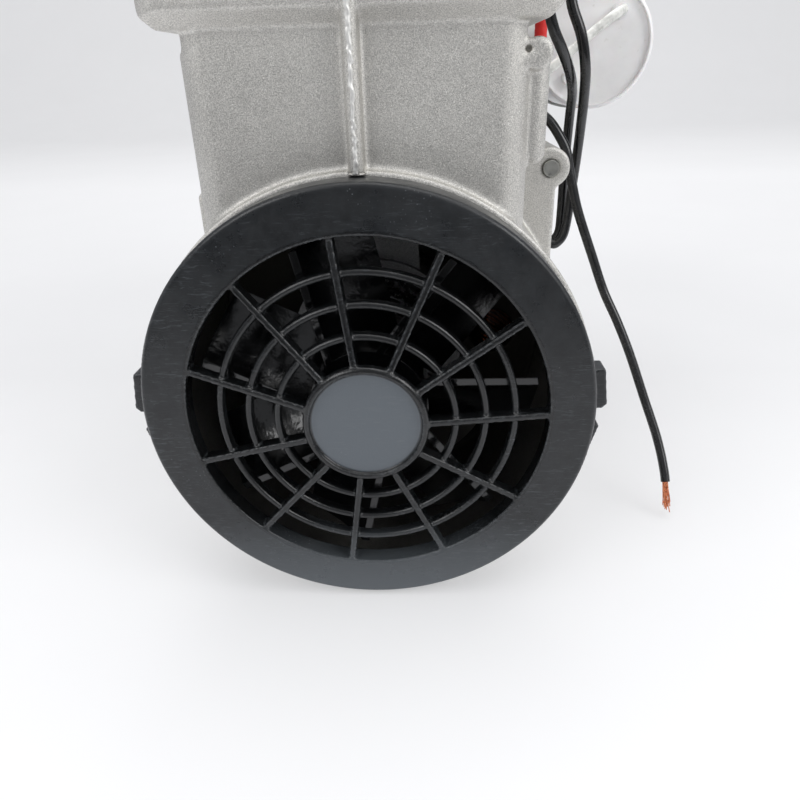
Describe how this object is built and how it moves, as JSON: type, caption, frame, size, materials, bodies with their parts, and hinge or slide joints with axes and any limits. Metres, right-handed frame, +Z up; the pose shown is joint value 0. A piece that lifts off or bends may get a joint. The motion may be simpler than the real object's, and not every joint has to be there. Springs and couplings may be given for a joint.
{
  "type": "compressor pump head",
  "caption": "Oil-free rocking-piston air compressor pump head: cast crankcases either side of a square motor, grille fan covers, finned heads, run capacitor.",
  "frame": {"origin": "centre of the foot hole pattern, in the plane of the foot pads undersides, midway between the two fan covers", "axes": "+Z up from the feet to the heads, +Y along the motor shaft from the front fan cover to the rear one, +X towards the run capacitor"},
  "size_m": [0.1774, 0.2542, 0.2038],
  "materials": {
    "cast_aluminium": "blasted",
    "cover_plastic": "satin, finely grained",
    "fan_plastic": "gloss",
    "bright_steel": "ground",
    "zinc_steel": "zinc plated",
    "lamination_steel": "lacquered sheet edges",
    "cage_aluminium": "cast",
    "winding_copper": "lacquered copper wire",
    "crank_iron": "machined",
    "black_steel": "black oxide",
    "rod_aluminium": "die-cast",
    "cup_plastic": "filled fluoropolymer",
    "sleeve_aluminium": "hard anodised",
    "seal_rubber": "moulded",
    "plate_aluminium": "machined",
    "reed_steel": "rolled spring steel",
    "gasket_sheet": "fibre sheet",
    "head_aluminium": "blasted",
    "pipe_brass": "drawn",
    "filter_plastic": "grained",
    "filter_felt": "felt",
    "capacitor_plastic": "satin",
    "band_steel": "zinc plated strip",
    "white_lead": "satin",
    "red_sleeve": "shrunk tube",
    "black_lead": "gloss insulation",
    "switch_plastic": "moulded",
    "grommet_rubber": "moulded"
  },
  "bodies": {
    "housing": {"front_crankcase": "cast_aluminium", "rear_crankcase": "cast_aluminium", "front_fan_cover": "cover_plastic", "rear_fan_cover": "cover_plastic", "front_main_bearing": "bright_steel", "rear_main_bearing": "bright_steel", "motor_bolts": "zinc_steel", "bracket_screws": "zinc_steel", "reed_rivets": "zinc_steel", "stator_core": "lamination_steel", "stator_windings": "winding_copper", "head_screws": "black_steel", "front_cylinder_sleeve": "sleeve_aluminium", "rear_cylinder_sleeve": "sleeve_aluminium", "sleeve_seals": "seal_rubber", "front_valve_plate": "plate_aluminium", "rear_valve_plate": "plate_aluminium", "front_head_gasket": "gasket_sheet", "rear_head_gasket": "gasket_sheet", "front_cylinder_head": "head_aluminium", "rear_cylinder_head": "head_aluminium", "transfer_pipes": "pipe_brass", "pipe_nuts": "pipe_brass", "outlet_fitting": "pipe_brass", "intake_filter_body": "filter_plastic", "intake_filter_cap": "filter_plastic", "intake_filter_felt": "filter_felt", "run_capacitor": "capacitor_plastic", "capacitor_band": "band_steel", "capacitor_lead": "white_lead", "splice_sleeve": "red_sleeve", "link_lead": "black_lead", "lead_a": "black_lead", "lead_b": "black_lead", "free_lead": "black_lead", "thermal_switch": "switch_plastic", "lead_grommets": "grommet_rubber"},
    "shaft": {"motor_shaft": "bright_steel", "rotor_core": "lamination_steel", "rotor_cage": "cage_aluminium", "front_eccentric": "crank_iron", "rear_eccentric": "crank_iron", "eccentric_set_screws": "black_steel", "front_fan": "fan_plastic", "rear_fan": "fan_plastic", "fan_nuts": "zinc_steel"},
    "front_rod": {"front_connecting_rod": "rod_aluminium", "front_rod_bearing": "bright_steel", "front_piston_cup": "cup_plastic", "front_cup_retainer": "rod_aluminium", "front_retainer_screw": "black_steel"},
    "rear_rod": {"rear_connecting_rod": "rod_aluminium", "rear_rod_bearing": "bright_steel", "rear_piston_cup": "cup_plastic", "rear_cup_retainer": "rod_aluminium", "rear_retainer_screw": "black_steel"},
    "front_suction_reed_body": {"front_suction_reed": "reed_steel"},
    "front_discharge_reed_body": {"front_discharge_reed": "reed_steel"},
    "rear_suction_reed_body": {"rear_suction_reed": "reed_steel"},
    "rear_discharge_reed_body": {"rear_discharge_reed": "reed_steel"}
  },
  "joints": [
    {"name": "shaft_spin", "type": "hinge", "parent": "housing", "child": "shaft", "pos_m": [0, 0, 0.064], "axis": [0, 1, 0], "continuous": true},
    {"name": "front_rod_orbit", "type": "hinge", "parent": "shaft", "child": "front_rod", "pos_m": [0, -0.0695, 0.068], "axis": [0, 1, 0], "continuous": true},
    {"name": "rear_rod_orbit", "type": "hinge", "parent": "shaft", "child": "rear_rod", "pos_m": [0, 0.0695, 0.06], "axis": [0, 1, 0], "continuous": true},
    {"name": "front_suction_reed_flex", "type": "hinge", "parent": "housing", "child": "front_suction_reed_body", "pos_m": [0.014, -0.0515, 0.1714], "axis": [1, 0, 0], "range_deg": [0, 1.6], "stiffness_Nm_per_rad": 0.3},
    {"name": "front_discharge_reed_flex", "type": "hinge", "parent": "housing", "child": "front_discharge_reed_body", "pos_m": [-0.014, -0.0515, 0.1765], "axis": [-1, 0, 0], "range_deg": [0, 1.6], "stiffness_Nm_per_rad": 0.3},
    {"name": "rear_suction_reed_flex", "type": "hinge", "parent": "housing", "child": "rear_suction_reed_body", "pos_m": [0.014, 0.0515, 0.1714], "axis": [-1, 0, 0], "range_deg": [0, 1.6], "stiffness_Nm_per_rad": 0.3},
    {"name": "rear_discharge_reed_flex", "type": "hinge", "parent": "housing", "child": "rear_discharge_reed_body", "pos_m": [-0.014, 0.0515, 0.1765], "axis": [1, 0, 0], "range_deg": [0, 1.6], "stiffness_Nm_per_rad": 0.3}
  ],
  "couplings": [
    {"joint": "front_rod_orbit", "follows": "shaft_spin", "ratio": -1},
    {"joint": "rear_rod_orbit", "follows": "shaft_spin", "ratio": -1}
  ]
}
